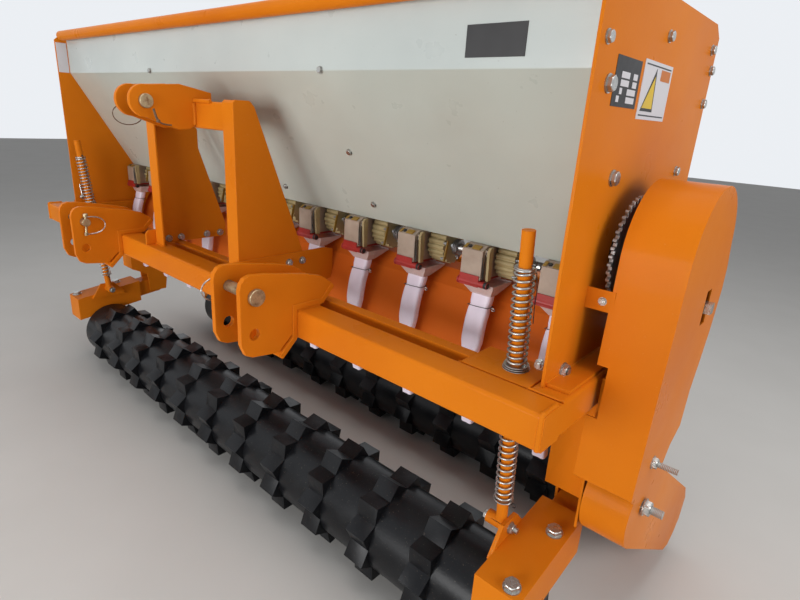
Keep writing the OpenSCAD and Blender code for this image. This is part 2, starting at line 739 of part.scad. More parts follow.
module mid_sprockets() color(steel) translate(shift) translate([0, mid_y, mid_z]) difference() {
    union() {
        yz(x_low - 3, x_low + 3) sprocket(n_mid, 11);
        yz(x_up - 3, x_up + 3) sprocket(n_mid2, 11);
        rod_along(x_low - 20, x_up + 12, 0, 0, mid_r + 8);
    }
    rod_along(x_low - 40, x_up + 30, 0, 0, mid_r + fit);
}

module top_sprockets() color(steel) translate(shift) translate([0, top_y1, top_z1]) union() {
    yz(x_up - 3, x_up + 3) sprocket(n_top, 12);
    yz(x_in - 3, x_in + 3) sprocket(n_top2, 12);
    yz(plate_x + 23, plate_x + 29) sprocket(45, 12);
    rod_along(plate_x - 4, x_up + 10, 0, 0, top_r);
}

module shaft_sprocket() color(steel) translate(shift)
    translate([0, hop_y, shaft_z]) yz(x_in - 3, x_in + 3) sprocket(n_seed, shaft_r);

// A chain as a band round two wheels
module band(y0, z0, r0, y1, z1, r1, t) {
    difference() {
        hull() {
            translate([y0, z0]) circle(r = r0 + t, $fn = 64);
            translate([y1, z1]) circle(r = r1 + t, $fn = 64);
        }
        hull() {
            translate([y0, z0]) circle(r = r0, $fn = 64);
            translate([y1, z1]) circle(r = r1, $fn = 64);
        }
    }
}

module chains() color("#4b4c50") translate(shift) {
    yz(x_up - 7, x_up + 7) band(top_y1, top_z1, wheel_r(n_top) + 3.5, mid_y, mid_z,
        wheel_r(n_mid2) + 3.5, 8);
    yz(x_low - 7, x_low + 7) band(mid_y, mid_z, wheel_r(n_mid) + 3.5, rear_y, tip_r,
        wheel_r(n_axle) + 3.5, 8);
    yz(x_in - 6, x_in + 6) band(top_y1, top_z1, wheel_r(n_top2) + 3.5, hop_y, shaft_z,
        wheel_r(n_seed) + 3.5, 7);
}

front_bar();
rear_bar();
side_rails();
rod_brackets();
end_plates();
hopper();
lid();
lid_hinge();
mast_uprights();
mast_tube();
mast_feet();
top_link_plates();
top_link_pin();
clevises();
lower_pins();
tube_guard();
deflector();
front_arms();
arm_pivots();
front_bearings();
front_roller();
front_axle();
rear_hangers();
rear_bearings();
rear_roller();
rear_axle();
spring_rods();
springs();
seed_cups();
seed_gates();
funnels();
seed_tubes();
seed_shaft();
fluted_rollers();
shaft_bearings();
shaft_sprocket();
drive_case();
drive_plate();
mid_stud();
mid_sprockets();
lower_cover();
axle_sprocket();
top_sprockets();
chains();
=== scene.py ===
"""Mounted seed drill: paint, film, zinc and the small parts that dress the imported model.

Places in the mesh code are machine millimetres: x along the rollers from the middle, y to
the rear from the front bar's face, z up from the ground. at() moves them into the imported
frame, in metres, where the materials, the lamps and the camera are written.
"""
import json

import bpy
import bmesh
import numpy as np
from mathutils import Matrix


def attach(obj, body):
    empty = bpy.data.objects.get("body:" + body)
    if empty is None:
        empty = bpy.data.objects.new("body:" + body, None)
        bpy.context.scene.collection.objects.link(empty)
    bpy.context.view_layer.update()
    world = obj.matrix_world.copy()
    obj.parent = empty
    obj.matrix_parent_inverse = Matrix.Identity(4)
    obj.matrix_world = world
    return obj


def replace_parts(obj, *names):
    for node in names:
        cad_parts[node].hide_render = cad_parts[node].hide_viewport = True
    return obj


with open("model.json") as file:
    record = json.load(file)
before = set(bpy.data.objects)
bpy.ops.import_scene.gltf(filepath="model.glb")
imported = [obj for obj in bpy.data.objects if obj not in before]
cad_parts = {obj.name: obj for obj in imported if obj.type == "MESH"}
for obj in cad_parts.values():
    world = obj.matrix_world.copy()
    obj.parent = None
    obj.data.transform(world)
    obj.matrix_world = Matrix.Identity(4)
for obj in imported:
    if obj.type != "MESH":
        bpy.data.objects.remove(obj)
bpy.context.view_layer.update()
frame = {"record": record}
RECORD = frame["record"]
BODY = {n: b for b, nodes in RECORD["behaviour"]["bodies"].items() for n in nodes}
SLOT = {s["node"]: s["material_slot"] for s in RECORD["subparts"]}

# ---------------------------------------------------------------- the machine's main places
SHIFT = np.array([-66.5, -315.5, 0.0])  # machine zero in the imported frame
PITCH = 178.0                           # from row to row
ROWS = np.arange(-5, 6) * PITCH
UNIT = np.array([0, 351, 727.0])        # the middle unit's point on the seed shaft
BAR_TOP = 620.0                         # top of the frame's tubes
PLATE_FACE = 961.0                      # outer face of each end plate
CLEVIS_X, CHEEK = 412.5, 50.5           # middle of each clevis, and out to a cheek's face
UPRIGHT_FACE = 202.0                    # inner face of each mast upright
FOOT_FACE = 214.0                       # outer face of each mast foot
HOPPER_FRONT = 115.0                    # front face of the hopper's upper band
FOLD_Z = 1072.0                         # fold under that band
SLOPE_RUN, SLOPE_DROP = 185.0, 312.0    # the sloping wall goes back and down
ROD_X, ROD_Y, ROD_Z = 896.0, 137.0, 292.0  # foot of each spring rod
LEAN = np.radians(5.0)                  # the rods lean forward
TO_BAR = (BAR_TOP - ROD_Z) / np.cos(LEAN)  # up a rod from its foot to the bar's top
CASE_FACE = 1098.0                      # outer face of the drive case
# y and z of the drive's axes
REAR_AXLE, SEED_SHAFT = (635.0, 123.0), (351.0, 727.0)
MID_AXIS, TOP_AXIS, TENSIONER = (262.0, 376.0), (275.0, 808.0), (242.0, 478.0)
CHAIN_PITCH = 12.7
THREAD_STEP = 1.25                      # along a stud from a thread's root to its crest


def at(p):
    """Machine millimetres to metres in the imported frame."""
    return (np.asarray(p, float) + SHIFT) / 1000.0


# ---------------------------------------------------------------- camera and light
def aimed(right, up, back, place):
    """The matrix whose columns are a camera's or lamp's three axes and its place."""
    return Matrix([(right[i], up[i], back[i], place[i]) for i in range(3)] + [(0, 0, 0, 1)])


def set_camera():
    """The photograph's camera, solved from the bar, the hopper and the clevises."""
    cam = bpy.data.cameras.new("camera")
    cam.sensor_fit = "HORIZONTAL"
    cam.sensor_width = 36.0
    cam.lens = 24.2075
    cam.clip_start = 0.05
    eye = bpy.data.objects.new("camera", cam)
    eye.matrix_world = aimed((0.74223305, 0.66750573, 0.05938182),
                             (-0.25748836, 0.20225726, 0.94487658),
                             (0.61870013, -0.71660875, 0.32199697), (1.204, -0.9405, 0.996))
    bpy.context.scene.collection.objects.link(eye)
    bpy.context.scene.camera = eye


def area_light(name, place, target, size, power, colour=(1, 1, 1)):
    """A rectangular lamp at a place that looks at a target, with its width level."""
    lamp = bpy.data.lights.new(name, "AREA")
    lamp.shape = "RECTANGLE"
    lamp.size, lamp.size_y = size
    lamp.energy = power
    lamp.color = colour
    obj = bpy.data.objects.new(name, lamp)
    back = np.array(place, float) - np.array(target, float)
    back /= np.linalg.norm(back)
    side = np.cross((0, 0, 1.0), back)
    side /= np.linalg.norm(side)
    obj.matrix_world = aimed(side, np.cross(back, side), back, place)
    bpy.context.scene.collection.objects.link(obj)


# ---------------------------------------------------------------- shaders
class Val:
    """A shader socket that takes part in sums as a number does."""

    def __init__(self, owner, socket):
        self.owner, self.socket = owner, socket

    def _sum(self, kind, a, b):
        return self.owner.node("ShaderNodeMath", {"operation": kind}, {0: a, 1: b})

    def __add__(self, o):
        return self._sum("ADD", self, o)

    def __sub__(self, o):
        return self._sum("SUBTRACT", self, o)

    def __rsub__(self, o):
        return self._sum("SUBTRACT", o, self)

    def __mul__(self, o):
        return self._sum("MULTIPLY", self, o)

    __radd__ = __add__
    __rmul__ = __mul__


class Nodes:
    """A node tree, with one method that adds any node to it."""

    def __init__(self, tree):
        self.tree = tree

    def put(self, socket, value):
        """A link where the value is a socket, and otherwise the value itself."""
        if isinstance(value, Val):
            self.tree.links.new(value.socket, socket)
        else:
            socket.default_value = value

    def node(self, kind, settings=None, inputs=None, out=0):
        """A node of a kind: first its settings, then its sockets; gives one output."""
        n = self.tree.nodes.new(kind)
        for key, value in (settings or {}).items():
            setattr(n, key, value)
        for key, value in (inputs or {}).items():
            self.put(n.inputs[key], value)
        return Val(self, n.outputs[out])


class Finish(Nodes):
    """One material: its principled shader and the nodes in front of it."""

    def __init__(self, name, colour, rough, metal=0.0, **rest):
        self.material = bpy.data.materials.new(name)
        self.material.use_nodes = True
        super().__init__(self.material.node_tree)
        self.shader = self.tree.nodes["Principled BSDF"]
        self.material.diffuse_color = (*colour, 1)
        self.set(**{"Base Color": (*colour, 1), "Roughness": rough, "Metallic": metal, **rest})

    def set(self, **sockets):
        """Values or links for sockets of the principled shader, by their names."""
        for name, value in sockets.items():
            self.put(self.shader.inputs[name], value)

    def coords(self):
        return self.node("ShaderNodeTexCoord", out="Object")

    def along(self, axis):
        """The point's x, y or z in metres, for axis 0, 1 or 2."""
        return self.node("ShaderNodeSeparateXYZ", None, {0: self.coords()}, out=axis)

    def noise(self, scale, detail=3.0, rough=0.55, stretch=None):
        """Clouds on Object coordinates, which are stretched first where that is asked."""
        where = self.coords()
        if stretch:
            where = self.node("ShaderNodeMapping", None, {"Vector": where, "Scale": stretch})
        return self.node("ShaderNodeTexNoise", None, {"Vector": where, "Scale": scale,
                         "Detail": detail, "Roughness": rough})

    def between(self, value, low, high):
        """0 below low, 1 above high, straight between."""
        return self.node("ShaderNodeMapRange", None, {"Value": value, "From Min": low,
                         "From Max": high})

    def mix(self, factor, a, b):
        """Colour a where the factor is 0, colour b where it is 1."""
        full = [c if isinstance(c, Val) else (*c, 1) for c in (a, b)]
        return self.node("ShaderNodeMix", {"data_type": "RGBA"},
                         {0: factor, 6: full[0], 7: full[1]}, out=2)

    def bump(self, height, strength, distance):
        """A bump from a height, on the shader's Normal."""
        self.set(Normal=self.node("ShaderNodeBump", None, {"Height": height,
                 "Strength": strength, "Distance": distance}))


def srgb(r, g, b):
    """A colour as a screen writes it, 0 to 255, as linear light."""
    c = np.array([r, g, b]) / 255.0
    light = np.where(c < 0.04045, c / 12.92, ((c + 0.055) / 1.055) ** 2.4)
    return tuple(float(v) for v in light)


def orange_paint(name="orange_paint", low=(207, 110, 20), high=(223, 127, 26)):
    """Sprayed paint: wide clouds between two oranges, pale specks of dust, a fine orange peel."""
    f = Finish(name, srgb(*high), 0.3, **{"Coat Weight": 0.02,
               "Coat Roughness": 0.06, "Specular IOR Level": 0.03})
    cloud = f.noise(2.2, 4.0)
    dust = f.between(f.noise(420.0, 2.0), 0.70, 0.78)
    base = f.mix(f.between(cloud, 0.3, 0.7), srgb(*low), srgb(*high))
    f.set(**{"Base Color": f.mix(dust * 0.25, base, srgb(236, 190, 140)),
             "Roughness": f.between(f.noise(9.0, 3.0), 0.2, 0.9) * 0.16 + 0.24})
    f.bump(f.noise(240.0, 2.0), 0.06, 0.002)
    return f


def film_sheet():
    """Polished sheet under its pale protective film; the band above the fold is painted lighter
    and bluer, as sky light.
    """
    f = Finish("film_sheet", srgb(186, 182, 170), 0.34, **{"Coat Weight": 0.25,
               "Coat Roughness": 0.2})
    # painted light: above the fold the sheet is lighter and bluer than on the slope below, as sky
    # light on the band
    sky_lit_band = f.between(f.along(2), 1.070, 1.074)
    patch = f.between(f.noise(3.0, 3.0), 0.35, 0.7)
    low = f.mix(patch, srgb(180, 184, 174), srgb(190, 195, 185))
    high = f.mix(patch, srgb(187, 195, 192), srgb(198, 205, 201))
    speck = f.between(f.noise(160.0, 2.0, 0.7), 0.72, 0.76)
    f.set(**{"Base Color": f.mix(speck * 0.35, f.mix(sky_lit_band, low, high), srgb(120, 112, 100)),
             "Roughness": f.between(f.noise(14.0, 4.0), 0.3, 0.8) * 0.2 + 0.26})
    wrinkle = f.noise(5.0, 5.0, 0.6, (1.0, 1.0, 2.4))
    f.bump(wrinkle + f.noise(60.0, 2.0) * 0.05, 0.12, 0.01)
    return f


def bare_steel(name, colour, rough, grain, dirt):
    """Plated or bare metal with a cloudy grain and darker, duller grime in patches."""
    f = Finish(name, colour, rough, 0.92)
    spots = f.between(f.noise(grain, 3.0), 0.45, 0.8)
    f.set(**{"Base Color": f.mix(spots * dirt, colour, tuple(c * 0.35 for c in colour)),
             "Roughness": spots * 0.25 + rough})
    f.bump(f.noise(grain * 6, 2.0), 0.08, 0.001)
    return f


def pin_plating():
    """Zinc gone yellow-brown: the heads of the hitch pins."""
    f = Finish("pin_plating", srgb(168, 150, 118), 0.42, 0.75)
    rust = f.between(f.noise(60.0, 4.0, 0.65), 0.45, 0.72)
    f.set(**{"Base Color": f.mix(rust, srgb(176, 160, 128), srgb(116, 78, 46)),
             "Roughness": rust * 0.3 + 0.35})
    f.bump(f.noise(300.0, 2.0), 0.15, 0.001)
    return f


def black_paint():
    """Satin black of the rollers: grey dust in clouds, which is duller, and sparse grit."""
    f = Finish("black_paint", srgb(22, 22, 24), 0.36, **{"Specular IOR Level": 0.2})
    dust = f.between(f.noise(7.0, 5.0, 0.6), 0.42, 0.75)
    grit = f.between(f.noise(300.0, 2.0), 0.68, 0.74)
    base = f.mix(dust * 0.5, srgb(16, 17, 20), srgb(36, 37, 39))
    f.set(**{"Base Color": f.mix(grit * 0.3, base, srgb(140, 128, 112)),
             "Roughness": dust * 0.22 + 0.28})
    f.bump(f.noise(200.0, 3.0), 0.12, 0.002)
    return f


def plastic(name, colour, rough=0.45, spread=0.12, **rest):
    """Moulded plastic: clouds between its colour and one darker by the spread, fine grain."""
    f = Finish(name, colour, rough, **rest)
    cloud = f.between(f.noise(30.0, 3.0), 0.3, 0.7)
    f.set(**{"Base Color": f.mix(cloud, tuple(c * (1 - spread) for c in colour), colour),
             "Roughness": cloud * 0.12 + rough})
    f.bump(f.noise(500.0, 2.0), 0.08, 0.001)
    return f


def cup_plastic():
    """Grey housings; the bracket, from a row's middle to 60 mm past it, is cream."""
    f = plastic("cup_plastic", srgb(168, 156, 150), 0.42)
    start = (SHIFT[0] - 10 * PITCH) / 1000.0  # whole pitches from the middle, left of all
    past_row = f.node("ShaderNodeMath", {"operation": "FLOORED_MODULO"},
                      {0: f.along(0) - start, 1: PITCH / 1000.0})
    cloud = f.between(f.noise(30.0, 3.0), 0.3, 0.7)
    f.set(**{"Base Color": f.mix(f.between(past_row, 0.060, 0.061),
             f.mix(cloud, srgb(150, 132, 92), srgb(172, 154, 112)),
             f.mix(cloud, srgb(156, 138, 122), srgb(173, 155, 138)))})
    return f


ORANGE = orange_paint()
# The deflector's paint: the same orange made darker and redder as painted shade, for the shade
# under the hopper.
SHADED_ORANGE = orange_paint("painted_shade_orange", (204, 96, 30), (220, 109, 38))
FILM = film_sheet()
ZINC = bare_steel("zinc", srgb(182, 181, 177), 0.27, 70.0, 0.5)
STEEL = bare_steel("steel", srgb(150, 150, 150), 0.35, 50.0, 0.5)
CHAIN = bare_steel("chain_steel", srgb(74, 72, 70), 0.42, 80.0, 0.5)
PIN = pin_plating()
BLACK = black_paint()
RED = plastic("red_paint", srgb(168, 40, 34), 0.35, 0.2)
CREAM = plastic("cream_plastic", srgb(176, 157, 112), 0.45, 0.25)
CUP = cup_plastic()
YELLOW = plastic("yellow_plastic", srgb(158, 122, 42), 0.5)
RUST = plastic("rusty_wire", srgb(104, 78, 54), 0.55, 0.4)
KNOB = plastic("black_plastic", srgb(34, 33, 33), 0.35)
MILKY = plastic("milky_plastic", srgb(226, 200, 194), 0.2, 0.06, **{"Alpha": 0.6})
PALE = plastic("pale_plastic", srgb(244, 232, 247), 0.34, 0.09)
LABEL = plastic("blank_white", srgb(214, 212, 216), 0.4, 0.03)
SIGN = plastic("blank_yellow", srgb(222, 186, 30), 0.4, 0.08)
DARK = plastic("blank_dark", srgb(34, 33, 34), 0.45, 0.02)
HEAD = plastic("blank_orange", srgb(196, 112, 40), 0.45, 0.02)

FINISH_OF = {"orange_paint": ORANGE, "stainless": FILM, "zinc": ZINC, "steel": STEEL,
             "chain": CHAIN, "black_paint": BLACK, "grey_plastic": CUP, "red_paint": RED,
             "cream_plastic": CREAM, "clear_plastic": MILKY, "pale_plastic": PALE}


# ---------------------------------------------------------------- pieces
def wear(obj, finish):
    """One finish over a whole piece."""
    obj.data.materials.clear()
    obj.data.materials.append(finish.material)


def add_piece(name, mesh, finish, body, smooth, bevel, limit=35.0, steps=2, harden=False):
    """A mesh as a piece: smooth below an angle, edges past a limit rounded by a bevel."""
    mesh.shade_smooth()
    mesh.set_sharp_from_angle(angle=np.radians(smooth))
    obj = bpy.data.objects.new(name, mesh)
    bpy.context.scene.collection.objects.link(obj)
    if bevel:
        edges = obj.modifiers.new("edges", "BEVEL")
        edges.width = bevel / 1000.0
        edges.segments = steps
        edges.limit_method = "ANGLE"
        edges.angle_limit = np.radians(limit)
        edges.harden_normals = harden
    wear(obj, finish)
    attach(obj, body)
    return obj


def dress(node, bevel=0.0, steps=2, finish=None, angle=28.0):
    """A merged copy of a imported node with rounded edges, which stands for that node."""
    mesh = bpy.data.objects[node].data.copy()
    b = bmesh.new()
    b.from_mesh(mesh)
    bmesh.ops.remove_doubles(b, verts=b.verts, dist=2e-6)
    bmesh.ops.dissolve_limit(b, angle_limit=0.004, verts=b.verts, edges=b.edges)
    b.to_mesh(mesh)
    b.free()
    slot = SLOT[node]
    obj = add_piece("dressed_" + node, mesh, finish or FINISH_OF[slot], BODY[node],
                    angle, bevel, angle, steps, True)
    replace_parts(obj, node)


class Batch:
    """Gathers grids of points in machine millimetres and turns them into one closed mesh."""

    def __init__(self):
        self.points, self.faces, self.count = [], [], 0

    def grid(self, p):
        """Quads between neighbours of an (n, m, 3) grid that closes on itself along m."""
        n, m = p.shape[:2]
        i = np.arange(n * m).reshape(n, m)
        i = np.hstack([i, i[:, :1]])
        q = np.stack([i[:-1, :-1], i[1:, :-1], i[1:, 1:], i[:-1, 1:]], axis=-1)
        self.points.append(p.reshape(-1, 3))
        self.faces += (q.reshape(-1, 4) + self.count).tolist()
        self.count += n * m

    def prism(self, base, step):
        """A flat outline (k, 3) carried along one step, with both ends closed."""
        k = len(base)
        self.grid(np.stack([base, base + step]))
        self.faces += [list(range(self.count - 2 * k, self.count - k)),
                       list(range(self.count - k, self.count))]

    def lathe(self, place, axis, profile, sides=24, shape=None):
        """Rings round an axis: a circle of radius r at height h for each (h, r) of a profile.

        shape gives a factor on r for each angle and height.
        """
        t = np.linspace(0, 2 * np.pi, sides, endpoint=False)
        h, r = np.array(profile, float).T
        w = np.array(axis, float) / np.linalg.norm(axis)
        u = np.cross(w, (0.31, 0.17, 0.93) if abs(w[2]) < 0.9 else (1.0, 0, 0))
        u /= np.linalg.norm(u)
        v = np.cross(w, u)
        ring = np.outer(np.cos(t), u) + np.outer(np.sin(t), v)
        grow = np.ones((len(h), sides)) if shape is None else shape(t, h)
        self.grid(np.array(place, float) + h[:, None, None] * w
                  + (r[:, None] * grow)[:, :, None] * ring)

    def tube(self, path, radius, sides, up=(0.12, 0.31, 0.94)):
        """A round bar: rings square to a path, and a ring of no radius at each end."""
        p = np.asarray(path, float)
        t = np.gradient(p, axis=0)
        t /= np.linalg.norm(t, axis=1)[:, None]
        u = np.cross(t, up)
        u /= np.linalg.norm(u, axis=1)[:, None]
        v = np.cross(t, u)
        a = np.linspace(0, 2 * np.pi, sides, endpoint=False)
        r = np.broadcast_to(radius, len(p)).astype(float)
        ends = np.r_[0, np.arange(len(p)), len(p) - 1]
        r = np.r_[0, r, 0][:, None, None]
        ring = (np.cos(a)[None, :, None] * u[:, None]
                + np.sin(a)[None, :, None] * v[:, None])[ends]
        self.grid(p[ends][:, None] + r * ring)

    def done(self, name, finish, slot, smooth=35.0, bevel=0.0):
        """The gathered grids as one fixed piece: doubles merged, faces turned outwards."""
        mesh = bpy.data.meshes.new(name)
        mesh.from_pydata(at(np.concatenate(self.points)).tolist(), [], self.faces)
        b = bmesh.new()
        b.from_mesh(mesh)
        bmesh.ops.remove_doubles(b, verts=b.verts, dist=1e-6)
        bmesh.ops.dissolve_degenerate(b, edges=b.edges, dist=1e-7)
        bmesh.ops.recalc_face_normals(b, faces=b.faces)
        b.to_mesh(mesh)
        b.free()
        return add_piece(name, mesh, finish, "frame", smooth, bevel)


def hexagon(t, h):
    """A hexagon's edge over its inner radius: 1 over the cosine of the angle off a flat."""
    return np.tile(1 / np.cos((t + np.pi / 6) % (np.pi / 3) - np.pi / 6), (len(h), 1))


def thread_radii(count, radius, depth):
    """Radii of a thread's rings, which step by the depth at every second one."""
    return radius + depth * (np.arange(count) % 2)


def bolt(batch, place, axis, size, washer=True, thread=0.0):
    """A washer, a hexagon head with a chamfer, and the thread's end if it is a nut."""
    s, w = size, 0.0
    if washer:
        w = 0.16 * s
        batch.lathe(place, axis, [(0, 0), (0, 1.05 * s), (w, 1.05 * s), (w, 0)], 28)
    a = np.array(axis, float) / np.linalg.norm(axis)
    start = np.array(place, float) + a * w
    head = [(0, 0), (0, 0.80 * s), (0.53 * s, 0.80 * s), (0.62 * s, 0.77 * s), (0.62 * s, 0)]
    batch.lathe(start, axis, head, 24,
                lambda t, h: np.where(h[:, None] < 0.6 * s, hexagon(t, h), 1))
    if thread:
        h = np.linspace(0, thread, 13)
        r = thread_radii(13, 0.48 * s, 0.03 * s)
        batch.lathe(start + a * 0.6 * s, axis, [(0, 0), *zip(h, r), (thread, 0)], 16)


# ---------------------------------------------------------------- spring rods
def coil_path(turns, length, radius, wire):
    """A helix: its first and last turns rise by little more than the wire's thickness."""
    u = np.linspace(0, turns, int(turns * 28) + 1)
    flat = 2 * wire + 0.3
    z = np.where(u < 1, u * flat, np.where(u > turns - 1, length - (turns - u) * flat,
                 flat + (u - 1) * (length - 2 * flat) / (turns - 2)))
    return np.stack([radius * np.cos(2 * np.pi * u), radius * np.sin(2 * np.pi * u), z],
                    axis=1)


def on_rod(p, side):
    """Points drawn round the z axis, turned by the lean and set on a spring rod's foot."""
    x, y, z = np.asarray(p, float).T
    return np.stack([side * ROD_X + x, ROD_Y + y * np.cos(LEAN) - z * np.sin(LEAN),
                     ROD_Z + y * np.sin(LEAN) + z * np.cos(LEAN)], axis=1)


def springs():
    """A spring under the bar and one above it on each rod, of 4.2 mm wire."""
    b = Batch()
    for side in (-1, 1):
        for start, turns, length in ((62, 21, TO_BAR - 72.2), (TO_BAR + 10.6, 16, 161)):
            p = coil_path(turns, length, 15.2, 2.1)
            p[:, 2] += start
            b.tube(on_rod(p, side), 2.1, 8)
    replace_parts(b.done("spring_wire", ZINC, "zinc", smooth=60), "springs")


def rod_fittings():
    """Washers at the springs' ends, split pins past them, and a thin wire down each rod."""
    washers, wire = Batch(), Batch()
    lean = np.array([0, -np.sin(LEAN), np.cos(LEAN)])
    a = np.linspace(0, 1.6 * np.pi, 20)
    for side in (-1, 1):
        for z, r in ((57.4, 18.5), (TO_BAR + 172.6, 16.5), (TO_BAR + 0.4, 22.5),
                     (TO_BAR + 3.6, 21.5), (TO_BAR + 6.8, 20.5)):
            washers.lathe(on_rod([[0, 0, z]], side)[0], lean,
                          [(0, 10.4), (0, r - 0.6), (0.6, r), (1.2, r), (1.8, r - 0.6),
                           (1.8, 10.4), (0, 10.4)], 28)
        for z in (52.5, TO_BAR + 178.0):
            eye = np.stack([17 + 4 - 4 * np.cos(a), np.zeros(20), z + 4 * np.sin(a)], 1)
            pin = np.stack([np.linspace(-17, 17, 8), np.zeros(8), np.full(8, z)], 1)
            wire.tube(on_rod(np.vstack([pin, eye[1:]]), side), 1.2, 8)
        tail = [(18, 3, TO_BAR + 168), (21, 4, TO_BAR + 140), (19, 5, TO_BAR + 110),
                (20, 4, TO_BAR + 84)]
        wire.tube(on_rod(tail, side), 0.8, 6)
    washers.done("rod_fittings", ZINC, "zinc", smooth=40)
    wire.done("split_pins", CHAIN, "zinc", smooth=40)


# ---------------------------------------------------------------- hitch
def pins():
    """Chamfered heads on the hitch pins, and the linch pins that hold them.

    A linch pin's ring is a half circle whose reach is widened: the sine to the power 0.7.
    """
    for node in ("lower_pins", "top_link_pin"):
        dress(node, 1.6, 3, PIN)
    linch, rings, old = Batch(), Batch(), Batch()
    y, z = -95, 668
    a = np.linspace(0, np.pi, 24)
    reach = 47 * np.sin(a) ** 0.7
    for x, swing in ((-349, 1), (350, -1)):
        linch.tube([(x, y, z + 20), (x, y, z + 10), (x, y - 1, z - 12), (x, y - 3, z - 34)],
                   3.4, 10)
        linch.lathe((x, y, z + 16), (0, 0, 1), [(0, 0), (0, 6.5), (7, 6.5), (9, 4.5), (9, 0)],
                    14)
        linch.lathe((x, y - 3, z - 36), (0, 0, 1), [(0, 0), (0, 4.6), (8, 5.4), (9, 0)], 12)
        rings.tube(np.stack([x + 5 + 0 * a, y + swing * reach, z - 8 + 24 * np.cos(a)], 1),
                   1.5, 8)
    old.tube([(60, -69, 981), (60, -67, 974), (60, -65, 966), (60, -61, 956)], 2.6, 10)
    old.lathe((60, -61, 953), (0, 0.2, 1), [(0, 0), (0, 4.0), (6, 4.0), (7, 0)], 12)
    old.tube([(59, -62, 957), (58.5, -52, 951), (58, -42, 949), (57, -30, 948)], 1.8, 6)
    a = np.linspace(0, 2 * np.pi, 30)
    old.tube(np.stack([-70 - 8 * np.sin(a / 2), -68 + 32 * np.cos(a), 964 - 23 * np.sin(a)],
                      1), 1.2, 6)
    old.tube([(-66, -76, 1014), (-66, -76, 1000), (-66, -76, 984), (-66, -75, 972)], 2.8, 10)
    old.done("old_pin", RUST, "zinc", smooth=40)
    linch.done("linch_pins", PIN, "zinc", smooth=40)
    rings.done("pin_rings", ZINC, "zinc", smooth=40)


# ---------------------------------------------------------------- metering units
# The path of a hose's middle, y and z from its unit's point on the seed shaft
HOSE_KNOTS = ((-56, -68.5), (-62.5, -94), (-74, -120), (-82, -176), (-82, -230),
              (-71, -299), (-58, -367))


def power_wave(c, n):
    """A sine or cosine raised to a power below 1 with its sign kept: a squarer ring."""
    return np.sign(c) * np.abs(c) ** n


def seed_tubes():
    """Soft flat hoses: a rounded section carried down a bent path, narrower below its tie.

    The knots are joined by straight lines and averaged four times with their neighbours.
    Across the path the section is a circle whose cosine and sine are raised to powers
    below 1. Its half width goes from 24 to 15 mm on the way down, the tie pinches it, and
    its front is pressed in by 0.7 mm away from a middle ridge. The inner wall is the same
    section, 2.2 mm smaller.
    """
    b = Batch()
    s = np.linspace(0, 1, 36)
    knots = np.array(HOSE_KNOTS, float)
    k = np.r_[0, np.cumsum(np.linalg.norm(np.diff(knots, axis=0), axis=1))]
    y = np.interp(s, k / k[-1], knots[:, 0])
    z = np.interp(s, k / k[-1], knots[:, 1])
    average = np.array([0.25, 0.5, 0.25])
    for _ in range(4):
        y[1:-1] = np.convolve(y, average, "valid")
        z[1:-1] = np.convolve(z, average, "valid")
    t = np.stack([np.gradient(y), np.gradient(z)], 1)
    t /= np.linalg.norm(t, axis=1)[:, None]
    a = np.linspace(0, 2 * np.pi, 32, endpoint=False)
    wide = np.interp(z, [-205, -166], [0.0, 1.0])
    pinch = 1 - 0.10 * np.exp(-((z + 92) / 5.0) ** 2)
    walls = []
    for inset in (0.3, 2.5):
        half = ((15.0 + 9.0 * wide) * pinch - inset)[:, None]
        deep = (11.3 * pinch - inset)[:, None]
        u = -8 + half * power_wave(np.cos(a), 0.4)[None]
        v = deep * power_wave(np.sin(a), 0.6)[None]
        v += (0.7 * np.exp(-((u + 8) / 5.0) ** 2) - 0.7) * (np.sin(a) < 0) * (deep > 9)
        walls.append(np.stack([u, y[:, None] - v * t[:, 1:2], z[:, None] + v * t[:, :1]], -1))
    shell = np.concatenate([walls[0], walls[1][::-1], walls[0][:1]])
    for x in ROWS:
        b.grid(shell + (UNIT + (x, 0, 0)))
    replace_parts(b.done("seed_hoses", PALE, "pale_plastic", smooth=50), "seed_tubes")


def hose_ties():
    """A thin wire tie round each hose, corner to corner, and an oval ring at one side."""
    ties, rings = Batch(), Batch()
    loop = [(16.5, -59), (16.5, -74), (-8, -75.2), (-32.5, -74), (-32.5, -52), (-8, -50.6),
            (16.5, -52), (18, -60)]
    a = np.linspace(0, 2 * np.pi, 16)
    for x in ROWS:
        o = UNIT + (x, 0, 0)
        ties.tube([o + (u, v, -92 + 0.05 * u) for u, v in loop], 0.8, 6)
        rings.tube(o + np.stack([22.5 - 4.6 * np.cos(a), -63 - 2 * np.sin(a),
                                 -94 + 3.6 * np.sin(a)], 1), 1.0, 6)
    ties.done("hose_ties", CHAIN, "zinc", smooth=60)
    rings.done("tie_rings", ZINC, "zinc", smooth=60)


